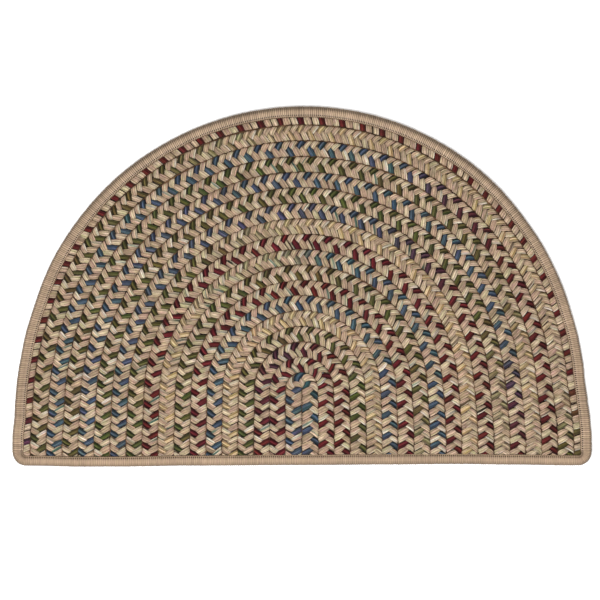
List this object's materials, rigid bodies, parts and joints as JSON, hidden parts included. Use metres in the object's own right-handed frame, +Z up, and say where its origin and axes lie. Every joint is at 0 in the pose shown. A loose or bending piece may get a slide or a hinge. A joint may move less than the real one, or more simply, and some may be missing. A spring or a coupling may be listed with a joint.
{
  "type": "half-round braided rug",
  "caption": "Half-round rug of flat three-strand plaits bent into nested arches and sewn edge to edge, with a whipped yarn binding round the whole edge.",
  "frame": {"origin": "on the floor under the middle of the rug's bounding box", "axes": "+X along the straight edge, +Y from the straight edge to the crown of the half round, +Z up through the thickness"},
  "size_m": [0.9152, 0.5682, 0.0106],
  "materials": {
    "plait_red": "flat three-strand plait of woolly yarn: tan, cream and dark red strands",
    "plait_green": "flat three-strand plait of woolly yarn: tan, cream and olive green strands",
    "plait_blue": "flat three-strand plait of woolly yarn: tan, cream and steel blue strands",
    "plait_straw": "flat three-strand plait of woolly yarn: tan, cream and straw yellow strands",
    "binding_tan": "tan yarn whipped closely over the edge"
  },
  "bodies": {
    "root": {"plait_01": "plait_red", "plait_02": "plait_green", "plait_03": "plait_blue", "plait_04": "plait_green", "plait_05": "plait_blue", "plait_06": "plait_green", "plait_07": "plait_blue", "plait_08": "plait_straw", "plait_09": "plait_red", "plait_10": "plait_blue", "plait_11": "plait_green", "plait_12": "plait_red", "plait_13": "plait_blue", "plait_14": "plait_straw", "plait_15": "plait_green", "plait_16": "plait_red", "plait_17": "plait_red", "plait_18": "plait_blue", "edge_binding": "binding_tan"}
  },
  "joints": []
}
